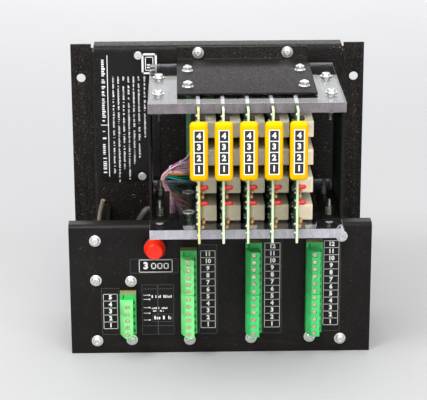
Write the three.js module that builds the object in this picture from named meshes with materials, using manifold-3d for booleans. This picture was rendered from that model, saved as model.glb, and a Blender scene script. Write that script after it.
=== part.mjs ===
// A wall-mounted relay-card panel with a panel fuse and pluggable terminals.
// Millimetres, +Z up. The back flanges lie on the wall, and -Y faces the user.
// Depths are distances in front of the wall; the whole group is then shifted in Y
// so that its origin is at the bottom centre of the box around it.

import * as THREE from 'three';
import { mergeVertices } from 'three/addons/utils/BufferGeometryUtils.js';
import Module from 'manifold-3d';

const wasm = await Module();
wasm.setup();

// ---- Driving dimensions -------------------------------------------------------

const UNIT_WIDTH = 203;
const UNIT_DEPTH = 151;
const SHEET = 1.5;
const GAP = 0.3;
const BEND_RADIUS = 2.25;
const BEND_STEPS = 3;

const CHASSIS_HEIGHT = 199.5;
const FLANGE_SETBACK = 1.5;
const END_WALL_RETURN = 12;
const PAN_WIDTH = 172;
const PAN_FRONT = 15.5;
const END_WALL_HALF_WIDTH = 84.9;
const RELIEF_WIDTH = 2.4;
const RELIEF_HEIGHT = 4.2;
const FLANGE_HOLE = { x: 94.6, radius: 3.1, top: 174.1, bottom: 25.4 };

const NAMEPLATE = { left: -82, right: -40, bottom: 104, top: 196.5, thickness: 0.4 };

const PANEL_FRONT = 78;
const PANEL_HEIGHT = 92;
const PANEL_RETURN = 11;
const PANEL_SCREW_RADIUS = 1.7;
const PANEL_EDGE_SCREWS = [[-83.9, 81.2], [-83.9, 53], [-83.9, 9.2], [81.3, 83], [81.3, 9.2]];

const RACK_CENTRE = 15.8;
const PLATE = { width: 124.3, back: 21.5, front: 128.5, thickness: 6.3 };
const UPPER_PLATE_TOP = 188.6;
const LOWER_PLATE_TOP = 105.6;
const GROOVE_DEPTH = 4.8;
const GROOVE_BACK = 36;
const SUPPORT = { web: 76, panFlange: 82, panelFlange: 91, topClearance: 5 };

const BRACKET = { sheet: 1.6, left: -28, right: 61.3, front: 109.5, leg: 10.6, radius: 1.8 };
const SIDE_BRACKET = { back: 52, front: 114.5, flange: 12.7 };

const CARD_COUNT = 5;
const CARD_PITCH = 15.45;
const CARDS_CENTRE = 16.2;
const BOARD = { thickness: 1.6, front: 138.5, back: 40, tongueBack: 29.5, noseBack: 129.2, noseBottom: 99.6 };
const TONGUE = { bottom: 113, top: 175 };
const HANDLE = { width: 11.3, bottom: 144.6, top: 182.2, back: 144.5, bevel: 1.1, corner: 2.6 };
const HANDLE_TAB = { bottom: 149, top: 178, front: 147.8 };
const RELAY = { depth: 28, width: 10.5, height: 10.4, front: 114, z: [112, 130.5, 149, 167.5] };

const BACKPLANE = { left: -22, right: 55, bottom: 108, top: 180, back: 22, thickness: 1.6 };
const SPACER = { radius: 3, inset: 4.5 };
const CONNECTOR = { width: 8, depth: 12, bottom: 109, top: 179, slotDepth: 7.5 };

const TERMINAL_PITCH = 5.08;
const FIRST_SCREW_Z = 19.3;
const TERMINALS = [
  { poles: 5, screwX: -62.6 },
  { poles: 11, screwX: -21.6 },
  { poles: 12, screwX: 21.9 },
  { poles: 12, screwX: 62.4 },
];
const STRIP_OFFSET = 0.2;
const HEADER = {
  width: 10.9, front: 85.4, floor: 2, wall: 1.1, slotWall: 1.9,
  below: 2.6, above: 6.1, tailBack: 70, tailWidth: 6, tailEnd: 2.2, slotEnd: 3,
};
const SOCKET = { below: 1.8, above: 2.1 };
const KEY_SLOT = { left: 2, right: 2.7, below: 5.4, above: 2.6, depth: 3 };
const CLIP_SLOT = { reach: 1.1, height: 2.2, depth: 3 };
const PLUG = { left: 5.35, faceLeft: 2.1, right: 3.5, front: 94, end: 2.5, ramp: 0.9 };
const SCREW_WELL = { radius: 1.65, depth: 2.2 };
const WIRE_ENTRY = { size: 3.4, depth: 3.2 };
const STRIP_SCREWS = [[-60.3, 52.2, 9.8], [-21, 86.5, 9.5], [20.7, 86.5, 10.4], [60.5, 86.5, 10.8]];

const FUSE = { x: -44, z: 76.3, bore: 3.7, cartridge: 3.2, cartridgeLength: 31.5 };
const FUSE_HOLDER = { collar: 7.6, collarDepth: 2.2, neck: 6.1, back: 36 };
const FUSE_CAP = { base: 7.1, face: 5.2, stem: 3.3, stemBack: 73, front: 88.3 };

// Points are [x, depth, z].
const HARNESS = {
  radius: 2.5,
  route: [
    [-38, 60, 18], [-34, 54, 42], [-31, 42, 66], [-33, 26, 86], [-37, 18.6, 97], [-38, 18.6, 106],
    [-33, 23, 112], [-26.5, 30, 117.5], [-22, 33, 122.5], [-22, 33.5, 134],
  ],
};
const SLEEVE = {
  radius: 2.3,
  route: [
    [-58.5, 52, 74], [-57, 58, 82], [-54.9, 60, 88.4], [-50, 60, 96.4], [-47, 57, 96.4], [-44.5, 48, 95.4],
    [-43.6, 36, 94.6], [-43.6, 25, 94.2],
  ],
};

// ---- Materials ----------------------------------------------------------------

function material(color, roughness, metalness) {
  return new THREE.MeshStandardMaterial({ color, roughness, metalness });
}

const texturedBlack = () => material(0x141416, 0.75, 0.3);
const satinBlack = () => material(0x101012, 0.45, 0.3);
const clearAcrylic = () => material(0xb9bccb, 0.15, 0);
const boardGreen = () => material(0x2d7a45, 0.5, 0);
const relayCream = () => material(0xe6dfc4, 0.45, 0);
const handleYellow = () => material(0xf2c81e, 0.35, 0);
const headerGreen = () => material(0x1c7a3c, 0.45, 0);
const plugGreen = () => material(0x2ea35a, 0.4, 0);
const fuseRed = () => material(0xc01a14, 0.35, 0);
const fuseBlack = () => material(0x17171a, 0.4, 0);
const connectorBlack = () => material(0x26282b, 0.5, 0);
const fuseGlass = () => material(0xd8e4e4, 0.1, 0);
const sleeveBlack = () => material(0x1a1a1c, 0.6, 0);
const wirePink = () => material(0xd97f9e, 0.5, 0);
const plateBlack = () => material(0x0d0d0f, 0.3, 0);

// ---- Solids -------------------------------------------------------------------

function toSolid(geometry) {
  const bare = geometry.clone();
  bare.deleteAttribute('normal');
  bare.deleteAttribute('uv');
  const merged = mergeVertices(bare, 1e-4);
  const triVerts = [];
  for (let i = 0; i < merged.index.count; i += 3) {
    const [a, b, c] = merged.index.array.slice(i, i + 3);
    if (a !== b && b !== c && c !== a) triVerts.push(a, b, c);
  }
  return new wasm.Manifold(new wasm.Mesh({
    numProp: 3,
    vertProperties: new Float32Array(merged.attributes.position.array),
    triVerts: new Uint32Array(triVerts),
  }));
}

function toGeometry(solid) {
  const mesh = solid.getMesh();
  const geometry = new THREE.BufferGeometry();
  geometry.setAttribute('position', new THREE.BufferAttribute(mesh.vertProperties, 3));
  geometry.setIndex(new THREE.BufferAttribute(mesh.triVerts, 1));
  return geometry;
}

function cut(body, ...tools) {
  let solid = toSolid(body);
  for (const tool of tools) solid = solid.subtract(toSolid(tool));
  return toGeometry(solid);
}

function join(body, ...others) {
  let solid = toSolid(body);
  for (const other of others) solid = solid.add(toSolid(other));
  return toGeometry(solid);
}

// A block between two depths, two sides and two heights.
function block(x0, x1, depth0, depth1, z0, z1) {
  const geometry = new THREE.BoxGeometry(x1 - x0, depth1 - depth0, z1 - z0);
  geometry.translate((x0 + x1) / 2, -(depth0 + depth1) / 2, (z0 + z1) / 2);
  return geometry;
}

// A round rod along the depth.
function rod(x, z, radius, depth0, depth1, sides = 16) {
  const geometry = new THREE.CylinderGeometry(radius, radius, depth1 - depth0, sides);
  geometry.translate(x, -(depth0 + depth1) / 2, z);
  return geometry;
}

function placed(geometry, u, v, w, origin) {
  const basis = new THREE.Matrix4().makeBasis(u, v, w).setPosition(origin);
  return geometry.applyMatrix4(basis);
}

const RIGHT = new THREE.Vector3(1, 0, 0);
const LEFT = new THREE.Vector3(-1, 0, 0);
const FRONT = new THREE.Vector3(0, -1, 0);
const UP = new THREE.Vector3(0, 0, 1);
const DOWN = new THREE.Vector3(0, 0, -1);

// A profile in (x, depth), between two heights.
function upright(shape, z0, z1) {
  const geometry = new THREE.ExtrudeGeometry(shape, { depth: z1 - z0, bevelEnabled: false });
  return placed(geometry, RIGHT, FRONT, DOWN, new THREE.Vector3(0, 0, z1));
}

// A profile in (depth, z), between two sides.
function across(shape, x0, x1) {
  const geometry = new THREE.ExtrudeGeometry(shape, { depth: x1 - x0, bevelEnabled: false });
  return placed(geometry, FRONT, UP, LEFT, new THREE.Vector3(x1, 0, 0));
}

// A profile in (x, z), between two depths.
function forward(shape, depth0, depth1, options = { bevelEnabled: false }) {
  const geometry = new THREE.ExtrudeGeometry(shape, { depth: depth1 - depth0, curveSegments: 3, ...options });
  return placed(geometry, RIGHT, UP, FRONT, new THREE.Vector3(0, -depth0, 0));
}

// One edge of a folded sheet: side is +1 on the left of the path and -1 on its right.
function sheetEdge(path, thickness, radius, side) {
  const edge = [];
  const centreRadius = radius + thickness / 2;
  path.forEach((corner, i) => {
    const before = path[i - 1] ? corner.clone().sub(path[i - 1]).normalize() : null;
    const after = path[i + 1] ? path[i + 1].clone().sub(corner).normalize() : null;
    if (!before || !after) {
      const run = before ?? after;
      edge.push(corner.clone().add(new THREE.Vector2(-run.y, run.x).multiplyScalar(side * thickness / 2)));
      return;
    }
    const turn = Math.sign(before.cross(after));
    const centre = corner.clone().addScaledVector(before, -centreRadius).addScaledVector(after, centreRadius);
    const arcRadius = centreRadius - side * turn * thickness / 2;
    const start = Math.atan2(-after.y, -after.x);
    for (let step = 0; step <= BEND_STEPS; step += 1) {
      const angle = start + turn * (Math.PI / 2) * (step / BEND_STEPS);
      const spoke = new THREE.Vector2(Math.cos(angle), Math.sin(angle)).multiplyScalar(arcRadius);
      edge.push(centre.clone().add(spoke));
    }
  });
  return edge;
}

// The section of a sheet folded at right angles along a centre line.
function foldedSheet(points, thickness = SHEET, radius = BEND_RADIUS - SHEET / 2) {
  const path = points.map(([u, v]) => new THREE.Vector2(u, v));
  const outline = sheetEdge(path, thickness, radius, 1);
  outline.push(...sheetEdge(path, thickness, radius, -1).reverse());
  return new THREE.Shape(outline);
}

function polygon(points) {
  return new THREE.Shape(points.map(([u, v]) => new THREE.Vector2(u, v)));
}

function roundedRectangle(u0, u1, v0, v1, radius) {
  const shape = new THREE.Shape();
  shape.moveTo(u0 + radius, v0);
  shape.lineTo(u1 - radius, v0);
  shape.absarc(u1 - radius, v0 + radius, radius, -Math.PI / 2, 0);
  shape.lineTo(u1, v1 - radius);
  shape.absarc(u1 - radius, v1 - radius, radius, 0, Math.PI / 2);
  shape.lineTo(u0 + radius, v1);
  shape.absarc(u0 + radius, v1 - radius, radius, Math.PI / 2, Math.PI);
  shape.lineTo(u0, v0 + radius);
  shape.absarc(u0 + radius, v0 + radius, radius, Math.PI, 1.5 * Math.PI);
  return shape;
}

// A turned piece about an axis along the depth; the profile is [radius, depth].
function turned(x, z, profile, sides = 20) {
  const points = profile.map(([radius, depth]) => new THREE.Vector2(radius, depth));
  const geometry = new THREE.LatheGeometry(points, sides);
  return placed(geometry, RIGHT, FRONT, DOWN, new THREE.Vector3(x, 0, z));
}

function tube({ radius, route }) {
  const section = new THREE.Shape();
  section.absarc(0, 0, radius, 0, 2 * Math.PI);
  const path = new THREE.CatmullRomCurve3(route.map(([x, depth, z]) => new THREE.Vector3(x, -depth, z)));
  const options = { steps: 30, curveSegments: 8, bevelEnabled: false, extrudePath: path };
  return new THREE.ExtrudeGeometry(section, options);
}

// ---- The assembly -------------------------------------------------------------

const panel = new THREE.Group();
panel.position.y = UNIT_DEPTH / 2;

function add(name, geometry, finish) {
  const mesh = new THREE.Mesh(geometry, finish);
  mesh.name = name;
  panel.add(mesh);
}

// The chassis is one folded sheet: two wall flanges and a raised pan between them,
// with a wall bent back to the flanges' plane at the pan's top and at its bottom.
function chassisEnd(z, inward) {
  const half = SHEET / 2;
  const middle = PAN_FRONT - half;
  const wallZ = z + inward * half;
  const endWall = foldedSheet([[middle, z + inward * END_WALL_RETURN], [middle, wallZ], [0, wallZ]]);
  return across(endWall, -END_WALL_HALF_WIDTH, END_WALL_HALF_WIDTH);
}

function chassis() {
  const half = SHEET / 2;
  const edge = UNIT_WIDTH / 2;
  const wall = PAN_WIDTH / 2 - half;
  const middle = PAN_FRONT - half;
  const hat = foldedSheet([
    [-edge, half], [-wall, half], [-wall, middle], [wall, middle], [wall, half], [edge, half],
  ]);
  const body = upright(hat, 0, CHASSIS_HEIGHT);
  const clearWidth = END_WALL_HALF_WIDTH;
  const relief = clearWidth + RELIEF_WIDTH;
  const removed = [];
  const corners = [];
  for (const end of [-1, 1]) {
    const atEnd = (x0, x1, depth0, length) => {
      const z = end > 0 ? CHASSIS_HEIGHT - length : -1;
      return block(x0, x1, depth0, 20, z, z + length + 1);
    };
    removed.push(atEnd(-clearWidth, clearWidth, 3, 8));
    corners.push(atEnd(clearWidth, relief, -1, RELIEF_HEIGHT));
    corners.push(atEnd(-relief, -clearWidth, -1, RELIEF_HEIGHT));
    corners.push(atEnd(relief, edge + 1, -1, FLANGE_SETBACK));
    corners.push(atEnd(-edge - 1, -relief, -1, FLANGE_SETBACK));
  }
  const holes = [];
  for (const z of [FLANGE_HOLE.bottom, FLANGE_HOLE.top]) {
    holes.push(rod(FLANGE_HOLE.x, z, FLANGE_HOLE.radius, -1, SHEET + 1));
    holes.push(rod(-FLANGE_HOLE.x, z, FLANGE_HOLE.radius, -1, SHEET + 1));
  }
  const trimmed = cut(body, ...removed);
  const closed = join(trimmed, chassisEnd(0, 1), chassisEnd(CHASSIS_HEIGHT, -1));
  return cut(closed, ...corners, ...holes);
}

function nameplate() {
  const { left, right, bottom, top, thickness } = NAMEPLATE;
  const back = PAN_FRONT + GAP;
  return forward(roundedRectangle(left, right, bottom, top, 1.5), back, back + thickness);
}

// An angle whose long leg lies on a guide plate and whose short leg is screwed to the pan.
function rackBracket(plateFace, outward) {
  const half = BRACKET.sheet / 2;
  const legDepth = PAN_FRONT + GAP + half;
  const legZ = plateFace + outward * (GAP + half);
  const angle = foldedSheet(
    [[legDepth, plateFace + outward * BRACKET.leg], [legDepth, legZ], [BRACKET.front, legZ]],
    BRACKET.sheet,
    BRACKET.radius - half,
  );
  return across(angle, BRACKET.left, BRACKET.right);
}

function cardX(index) {
  return CARDS_CENTRE + (index - (CARD_COUNT - 1) / 2) * CARD_PITCH;
}

// A clear plate with one groove for each card in its inner face.
function guidePlate(top, grooveBottom, grooveTop) {
  const half = PLATE.width / 2;
  const bottom = top - PLATE.thickness;
  const body = block(RACK_CENTRE - half, RACK_CENTRE + half, PLATE.back, PLATE.front, bottom, top);
  const halfGroove = BOARD.thickness / 2 + GAP;
  const ahead = PLATE.front + 1;
  const grooves = [];
  for (let i = 0; i < CARD_COUNT; i += 1) {
    const x = cardX(i);
    grooves.push(block(x - halfGroove, x + halfGroove, GROOVE_BACK, ahead, grooveBottom, grooveTop));
  }
  return cut(body, ...grooves);
}

const UPPER_INNER_FACE = UPPER_PLATE_TOP - PLATE.thickness;

// A channel that holds the two guide plates apart, open towards the cards.
function sideBracket(side) {
  const half = SHEET / 2;
  const web = RACK_CENTRE + side * (PLATE.width / 2 - half);
  const tip = web - side * (SIDE_BRACKET.flange - half);
  const low = LOWER_PLATE_TOP + GAP + half;
  const high = UPPER_INNER_FACE - GAP - half;
  const channel = foldedSheet([[tip, low], [web, low], [web, high], [tip, high]]);
  return forward(channel, SIDE_BRACKET.back, SIDE_BRACKET.front);
}

function poleZ(index) {
  return FIRST_SCREW_Z + index * TERMINAL_PITCH;
}

function frontPanel() {
  const half = SHEET / 2;
  const back = PANEL_FRONT - half;
  const profile = foldedSheet([
    [back, 0], [back, PANEL_HEIGHT - half], [PANEL_FRONT - PANEL_RETURN, PANEL_HEIGHT - half],
  ]);
  const body = across(profile, -UNIT_WIDTH / 2, UNIT_WIDTH / 2);
  const behind = PANEL_FRONT - SHEET - 1;
  const ahead = PANEL_FRONT + 1;
  const openings = [rod(FUSE.x, FUSE.z, FUSE_HOLDER.neck + GAP, behind, ahead, 20)];
  for (const { poles, screwX } of TERMINALS) {
    const x = screwX + STRIP_OFFSET;
    const halfSlot = HEADER.tailWidth / 2 + GAP;
    const lowest = poleZ(0) - HEADER.slotEnd;
    const highest = poleZ(poles - 1) + HEADER.slotEnd;
    openings.push(block(x - halfSlot, x + halfSlot, behind, ahead, lowest, highest));
  }
  const screws = PANEL_EDGE_SCREWS.slice();
  for (const [x, top, bottom] of STRIP_SCREWS) screws.push([x, top], [x, bottom]);
  for (const [x, z] of screws) openings.push(rod(x, z, PANEL_SCREW_RADIUS, behind, ahead, 8));
  return cut(body, ...openings);
}

// A channel from the pan to the front panel, with both of its flanges turned outwards.
function panelSupport(side) {
  const half = SHEET / 2;
  const web = side * SUPPORT.web;
  const panFlange = side * SUPPORT.panFlange;
  const panelFlange = side * SUPPORT.panelFlange;
  const rear = PAN_FRONT + GAP + half;
  const front = PANEL_FRONT - SHEET - GAP - half;
  const section = foldedSheet([[panFlange, rear], [web, rear], [web, front], [panelFlange, front]]);
  return upright(section, 0, PANEL_HEIGHT - SUPPORT.topClearance);
}

// The backplane board stands off the pan on four spacers that are bonded to it.
function backplane() {
  const { left, right, bottom, top, back, thickness } = BACKPLANE;
  const spacers = [];
  for (const x of [left + SPACER.inset, right - SPACER.inset]) {
    for (const z of [bottom + SPACER.inset, top - SPACER.inset]) {
      spacers.push(rod(x, z, SPACER.radius, PAN_FRONT + GAP, back + thickness / 2, 8));
    }
  }
  return join(block(left, right, back, back + thickness, bottom, top), ...spacers);
}

function edgeConnector(x) {
  const back = BACKPLANE.back + BACKPLANE.thickness + GAP;
  const front = back + CONNECTOR.depth;
  const half = CONNECTOR.width / 2;
  const halfSlot = BOARD.thickness / 2 + GAP;
  const body = block(x - half, x + half, back, front, CONNECTOR.bottom, CONNECTOR.top);
  const slotBack = front - CONNECTOR.slotDepth;
  const slot = block(x - halfSlot, x + halfSlot, slotBack, front + 1, TONGUE.bottom - 1, TONGUE.top + 1);
  return cut(body, slot);
}

function cardBoard(x) {
  const bottom = LOWER_PLATE_TOP - GROOVE_DEPTH + GAP;
  const top = UPPER_INNER_FACE + GROOVE_DEPTH - GAP;
  const outline = polygon([
    [BOARD.front, BOARD.noseBottom], [BOARD.front, HANDLE_TAB.bottom], [HANDLE_TAB.front, HANDLE_TAB.bottom],
    [HANDLE_TAB.front, HANDLE_TAB.top], [BOARD.front, HANDLE_TAB.top], [BOARD.front, top],
    [BOARD.back, top], [BOARD.back, TONGUE.top],
    [BOARD.tongueBack, TONGUE.top], [BOARD.tongueBack, TONGUE.bottom], [BOARD.back, TONGUE.bottom],
    [BOARD.back, bottom], [BOARD.noseBack, bottom], [BOARD.noseBack, BOARD.noseBottom],
  ]);
  return across(outline, x - BOARD.thickness / 2, x + BOARD.thickness / 2);
}

// A pull handle with a pocket at its back, which the tab on the card's front edge fills.
function cardHandle(x) {
  const { width, bottom, top, back, bevel, corner } = HANDLE;
  const half = width / 2 - bevel;
  const face = roundedRectangle(x - half, x + half, bottom + bevel, top - bevel, corner - bevel);
  const options = { bevelEnabled: true, bevelThickness: bevel, bevelSize: bevel, bevelSegments: 2 };
  const body = forward(face, back + bevel, UNIT_DEPTH - bevel, options);
  const halfPocket = BOARD.thickness / 2 + GAP;
  const pocketFront = HANDLE_TAB.front + GAP;
  const pocketBottom = HANDLE_TAB.bottom - GAP;
  const pocketTop = HANDLE_TAB.top + GAP;
  const pocket = block(x - halfPocket, x + halfPocket, back - 1, pocketFront, pocketBottom, pocketTop);
  return cut(body, pocket);
}

function relay(x, z) {
  const left = x + BOARD.thickness / 2 + GAP;
  const face = roundedRectangle(left, left + RELAY.width, z - RELAY.height / 2, z + RELAY.height / 2, 0.6);
  return forward(face, RELAY.front - RELAY.depth, RELAY.front, { curveSegments: 1, bevelEnabled: false });
}

// The fixed half of a terminal: a shroud on the panel's face and a tail through it. Its
// right wall has a clip slot for each pole, and its upper end a narrow key slot.
function terminalHeader({ poles, screwX }) {
  const x = screwX + STRIP_OFFSET;
  const left = x - HEADER.width / 2;
  const right = x + HEADER.width / 2;
  const back = PANEL_FRONT + GAP;
  const ahead = HEADER.front + 1;
  const lowest = poleZ(0);
  const highest = poleZ(poles - 1);
  const body = block(left, right, back, HEADER.front, lowest - HEADER.below, highest + HEADER.above);
  const socketRight = right - HEADER.slotWall;
  const floor = back + HEADER.floor;
  const openings = [
    block(left + HEADER.wall, socketRight, floor, ahead, lowest - SOCKET.below, highest + SOCKET.above),
    block(left + KEY_SLOT.left, left + KEY_SLOT.right, HEADER.front - KEY_SLOT.depth, ahead,
      highest + KEY_SLOT.above, highest + KEY_SLOT.below),
  ];
  for (let i = 0; i < poles; i += 1) {
    const z = poleZ(i);
    const half = CLIP_SLOT.height / 2;
    const slotBack = HEADER.front - CLIP_SLOT.depth;
    const slotLeft = socketRight - 0.1;
    const slotRight = socketRight + CLIP_SLOT.reach;
    openings.push(block(slotLeft, slotRight, slotBack, ahead, z - half, z + half));
  }
  const halfTail = HEADER.tailWidth / 2;
  const tailBottom = lowest - HEADER.tailEnd;
  const tailTop = highest + HEADER.tailEnd;
  const tail = block(x - halfTail, x + halfTail, HEADER.tailBack, back + 1, tailBottom, tailTop);
  return join(cut(body, ...openings), tail);
}

// The pull-off half of a terminal: a head with a ramp on its left, one screw well and one
// side wire entry for each pole, and a neck that fills the header's socket.
function terminalPlug({ poles, screwX }) {
  const x = screwX + STRIP_OFFSET;
  const { left, faceLeft, right, front, end, ramp } = PLUG;
  const back = HEADER.front + GAP;
  const lowest = poleZ(0);
  const highest = poleZ(poles - 1);
  const section = polygon([
    [x - left, back], [x + right, back], [x + right, front], [x - faceLeft, front], [x - left, back + ramp],
  ]);
  const head = upright(section, lowest - end, highest + end);
  const neckLeft = x - HEADER.width / 2 + HEADER.wall + GAP;
  const neckRight = x + HEADER.width / 2 - HEADER.slotWall - GAP;
  const neckBack = PANEL_FRONT + GAP + HEADER.floor + GAP;
  const neckBottom = lowest - SOCKET.below + GAP;
  const neck = block(neckLeft, neckRight, neckBack, back + 1, neckBottom, highest + SOCKET.above - GAP);
  const tools = [];
  for (let i = 0; i < poles; i += 1) {
    const z = poleZ(i);
    const half = WIRE_ENTRY.size / 2;
    const middle = (back + front) / 2;
    const inside = x + right - WIRE_ENTRY.depth;
    tools.push(rod(screwX, z, SCREW_WELL.radius, front - SCREW_WELL.depth, front + 1, 8));
    tools.push(block(inside, x + right + 1, middle - half - 0.3, middle + 0.9, z - half, z + half));
  }
  return cut(join(head, neck), ...tools);
}

function fuseHolder() {
  const back = FUSE_HOLDER.back;
  const collarBack = PANEL_FRONT + GAP;
  const collarFront = collarBack + FUSE_HOLDER.collarDepth;
  const boreBack = FUSE_CAP.stemBack - GAP - FUSE.cartridgeLength - 1;
  return turned(FUSE.x, FUSE.z, [
    [0, back], [2.2, back], [2.2, back + 4], [5.2, back + 4], [5.2, 66], [FUSE_HOLDER.neck, 66],
    [FUSE_HOLDER.neck, collarBack], [FUSE_HOLDER.collar, collarBack], [FUSE_HOLDER.collar, collarFront - 0.5],
    [FUSE_HOLDER.collar - 0.5, collarFront], [FUSE.bore, collarFront], [FUSE.bore, boreBack], [0, boreBack],
  ]);
}

function fuseCartridge() {
  const front = FUSE_CAP.stemBack - GAP;
  const back = front - FUSE.cartridgeLength;
  const glass = FUSE.cartridge - 0.25;
  const ferrule = 6;
  return turned(FUSE.x, FUSE.z, [
    [0, back], [FUSE.cartridge, back], [FUSE.cartridge, back + ferrule], [glass, back + ferrule],
    [glass, front - ferrule], [FUSE.cartridge, front - ferrule], [FUSE.cartridge, front], [0, front],
  ]);
}

function fuseCap() {
  const back = PANEL_FRONT + GAP + FUSE_HOLDER.collarDepth + GAP;
  const { base, face, stem, stemBack, front } = FUSE_CAP;
  return turned(FUSE.x, FUSE.z, [
    [0, stemBack], [stem, stemBack], [stem, back], [base, back], [base, back + 1.2], [base - 0.8, back + 2],
    [face + 0.4, front - 0.8], [face - 0.4, front], [0, front],
  ]);
}

add('chassis', chassis(), texturedBlack());
add('nameplate', nameplate(), plateBlack());
add('upper_bracket', rackBracket(UPPER_PLATE_TOP, 1), texturedBlack());
add('lower_bracket', rackBracket(LOWER_PLATE_TOP - PLATE.thickness, -1), texturedBlack());
const upperGroove = [UPPER_INNER_FACE - 1, UPPER_INNER_FACE + GROOVE_DEPTH];
const lowerGroove = [LOWER_PLATE_TOP - GROOVE_DEPTH, LOWER_PLATE_TOP + 1];
add('upper_guide_plate', guidePlate(UPPER_PLATE_TOP, ...upperGroove), clearAcrylic());
add('lower_guide_plate', guidePlate(LOWER_PLATE_TOP, ...lowerGroove), clearAcrylic());
add('left_side_bracket', sideBracket(-1), satinBlack());
add('right_side_bracket', sideBracket(1), satinBlack());
add('front_panel', frontPanel(), satinBlack());
add('left_panel_support', panelSupport(-1), satinBlack());
add('right_panel_support', panelSupport(1), satinBlack());
add('backplane_board', backplane(), boardGreen());

for (let i = 0; i < CARD_COUNT; i += 1) {
  const card = `card_${i + 1}`;
  const x = cardX(i);
  add(`edge_connector_${i + 1}`, edgeConnector(x), connectorBlack());
  add(`${card}_board`, cardBoard(x), boardGreen());
  add(`${card}_handle`, cardHandle(x), handleYellow());
  RELAY.z.forEach((z, row) => add(`${card}_relay_${row + 1}`, relay(x, z), relayCream()));
}

TERMINALS.forEach((terminal, i) => {
  add(`terminal_header_${i + 1}`, terminalHeader(terminal), headerGreen());
  add(`terminal_plug_${i + 1}`, terminalPlug(terminal), plugGreen());
});

add('fuse_holder', fuseHolder(), fuseBlack());
add('fuse_cartridge', fuseCartridge(), fuseGlass());
add('fuse_cap', fuseCap(), fuseRed());
add('wiring_harness', tube(HARNESS), wirePink());
add('wire_sleeve', tube(SLEEVE), sleeveBlack());

export default panel;
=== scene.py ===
"""Looks for the relay-card panel: finishes, fasteners, lamps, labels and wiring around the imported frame.

Shapes are built in millimetres and scaled to metres as their vertices are made.
"""

import math
import random

import bmesh
import bpy
from mathutils import Matrix, Vector


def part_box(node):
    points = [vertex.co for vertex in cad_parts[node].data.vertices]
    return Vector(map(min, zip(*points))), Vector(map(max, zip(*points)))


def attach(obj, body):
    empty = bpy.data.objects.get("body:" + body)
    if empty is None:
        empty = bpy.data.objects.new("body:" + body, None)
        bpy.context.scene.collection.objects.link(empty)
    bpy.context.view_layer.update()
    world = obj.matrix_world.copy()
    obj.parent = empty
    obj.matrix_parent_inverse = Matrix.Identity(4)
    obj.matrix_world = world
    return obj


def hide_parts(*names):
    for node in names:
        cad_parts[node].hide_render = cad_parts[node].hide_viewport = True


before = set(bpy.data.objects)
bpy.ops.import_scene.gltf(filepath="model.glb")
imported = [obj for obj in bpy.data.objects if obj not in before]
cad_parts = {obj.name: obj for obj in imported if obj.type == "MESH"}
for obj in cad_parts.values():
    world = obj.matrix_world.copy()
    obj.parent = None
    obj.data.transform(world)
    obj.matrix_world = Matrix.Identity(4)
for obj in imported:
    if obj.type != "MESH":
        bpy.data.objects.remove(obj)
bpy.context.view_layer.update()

MM = 0.001
CARDS = range(1, 6)
RELAY_ROWS = range(1, 5)
TERMINALS = range(1, 5)
scene = bpy.context.scene
scene.view_settings.view_transform = "Standard"
rng = random.Random(11)


def box(node):
    """The low and high corners of a CAD node, in millimetres."""
    return [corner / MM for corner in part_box(node)]


WALL = box("chassis")[1].y
BOARD_FRONT = WALL - 138.5


# ---- Camera ----

CAMERA_PLACE = Vector((-24.9, -1104.5, 468.2)) * MM
CAMERA_YAW = 0.0185
CAMERA_PITCH = 0.3149
CAMERA_ROLL = -0.0039
SENSOR_MM = 36
LENS_MM = 147.11944


def make_camera():
    data = bpy.data.cameras.new("camera")
    data.sensor_width = SENSOR_MM
    data.lens = LENS_MM
    data.clip_end = 20
    camera = bpy.data.objects.new("camera", data)
    scene.collection.objects.link(camera)
    heading = Matrix.Rotation(-CAMERA_YAW, 4, "Z") @ Matrix.Rotation(math.pi / 2 - CAMERA_PITCH, 4, "X")
    camera.matrix_world = Matrix.Translation(CAMERA_PLACE) @ heading @ Matrix.Rotation(CAMERA_ROLL, 4, "Z")
    scene.camera = camera


# ---- Finishes ----

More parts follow.
